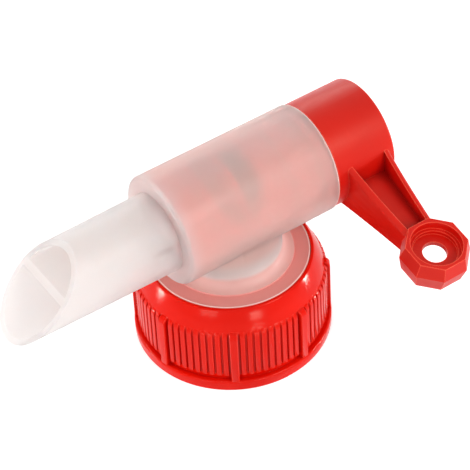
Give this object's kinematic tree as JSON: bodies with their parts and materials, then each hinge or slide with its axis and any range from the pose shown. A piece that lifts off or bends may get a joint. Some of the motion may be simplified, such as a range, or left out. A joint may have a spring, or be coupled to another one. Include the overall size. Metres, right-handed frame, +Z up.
{
  "type": "jerrycan tap",
  "caption": "Pouring tap for a plastic jerrycan, with a ribbed screw cap, a parted spout and a plug turned by a lever with an eight-sided ring.",
  "frame": {"origin": "centre of the screw cap's lower rim, on the surface that the tap stands on", "axes": "+Z up along the cap's axis, +X along the barrel from the spout to the lever's end, the lever points towards -Y"},
  "size_m": [0.1422, 0.0995, 0.0768],
  "materials": {
    "cap_plastic": "glossy moulded red plastic",
    "body_plastic": "natural translucent plastic, milky and satin",
    "plug_plastic": "satin moulded red plastic",
    "gasket_rubber": "pale soft sealing washer"
  },
  "bodies": {
    "tap": {"tap_body": "body_plastic", "cap_gasket": "gasket_rubber"},
    "cap": {"screw_cap": "cap_plastic"},
    "plug": {"valve_plug": "plug_plastic"}
  },
  "joints": [
    {"name": "plug_turn", "type": "hinge", "parent": "tap", "child": "plug", "pos_m": [0, 0, 0.0573], "axis": [-1, 0, 0], "range_deg": [0, 190.8]},
    {"name": "cap_turn", "type": "hinge", "parent": "tap", "child": "cap", "pos_m": [0, 0, 0], "axis": [0, 0, 1], "continuous": true}
  ]
}
